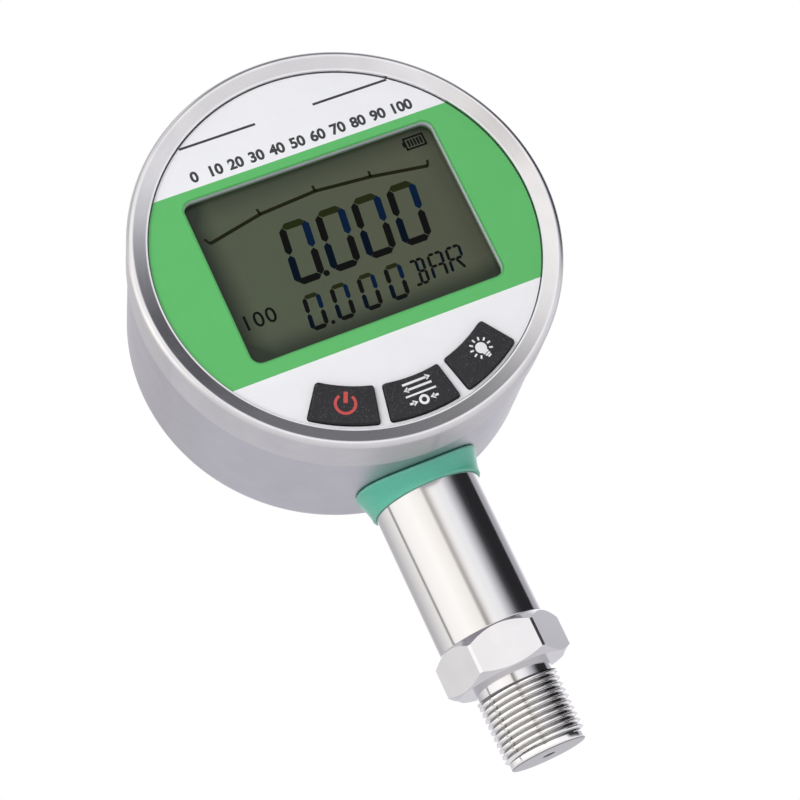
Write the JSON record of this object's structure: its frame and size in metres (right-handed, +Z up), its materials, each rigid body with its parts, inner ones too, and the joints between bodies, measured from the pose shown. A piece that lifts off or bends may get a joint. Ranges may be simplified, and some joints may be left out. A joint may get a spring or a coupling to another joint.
{
  "type": "digital pressure gauge",
  "caption": "Round steel digital pressure gauge with a display, sprung keys under it, a battery hatch behind, and a threaded stem with a hexagon below.",
  "frame": {"origin": "on the stem's axis, at the upper end of the full process thread", "axes": "+Z up the stem towards the case, the dial faces -Y, +X to the right of the dial as it is read"},
  "size_m": [0.1, 0.0538, 0.17],
  "materials": {
    "brushed_steel": "brushed round the ring",
    "satin_steel": "satin",
    "polished_steel": "polished",
    "turned_steel": "fine turned",
    "zinc_steel": "zinc plated",
    "white_plastic": "moulded gloss",
    "printed_sheet": "printed sheet, white with a green band",
    "display_glass": "display glass over a grey-green ground",
    "light_guide": "diffuser",
    "grey_plastic": "moulded",
    "zebra_rubber": "striped elastomer",
    "key_black": "fine texture",
    "ivory_plastic": "moulded",
    "board_green": "solder mask",
    "chip_black": "moulded",
    "green_silicone": "satin silicone",
    "dark_rubber": "matte",
    "cable_jacket": "satin",
    "lead_jacket": "satin",
    "tray_black": "moulded",
    "cell_jacket": "plain jacket",
    "contact_brass": "plated"
  },
  "bodies": {
    "housing": {"bezel_ring": "brushed_steel", "bezel_seal": "dark_rubber", "case_shell": "satin_steel", "front_panel": "white_plastic", "panel_overlay": "printed_sheet", "lcd_glass": "display_glass", "lcd_backlight": "light_guide", "lcd_holder": "grey_plastic", "zebra_strips": "zebra_rubber", "tact_switches": "grey_plastic", "main_board": "board_green", "control_chip": "chip_black", "board_sockets": "ivory_plastic", "board_screws": "zinc_steel", "saddle_gasket": "green_silicone", "saddle_washer": "zinc_steel", "stem_nut": "zinc_steel", "stem_sleeve": "polished_steel", "process_fitting": "turned_steel", "sensor_o_ring": "dark_rubber", "sensor_cell": "turned_steel", "sensor_retainer": "turned_steel", "sensor_board": "board_green", "sensor_plug": "ivory_plastic", "sensor_cable": "cable_jacket", "battery_tray": "tray_black", "battery_cells": "cell_jacket", "battery_contacts": "contact_brass", "battery_lead": "lead_jacket", "rivet_nuts": "zinc_steel", "cover_seal": "dark_rubber", "battery_cover": "satin_steel", "cover_screws": "zinc_steel"},
    "power_button": {"key_power": "key_black", "plunger_power": "ivory_plastic"},
    "unit_button": {"key_unit": "key_black", "plunger_unit": "ivory_plastic"},
    "light_button": {"key_light": "key_black", "plunger_light": "ivory_plastic"}
  },
  "joints": [
    {"name": "press_power", "type": "slide", "parent": "housing", "child": "power_button", "axis": [0, 1, 0], "range_m": [0, 0.0005], "stiffness_N_per_m": 3000, "springref_m": -0.0002},
    {"name": "press_unit", "type": "slide", "parent": "housing", "child": "unit_button", "axis": [0, 1, 0], "range_m": [0, 0.0005], "stiffness_N_per_m": 3000, "springref_m": -0.0002},
    {"name": "press_light", "type": "slide", "parent": "housing", "child": "light_button", "axis": [0, 1, 0], "range_m": [0, 0.0005], "stiffness_N_per_m": 3000, "springref_m": -0.0002}
  ]
}
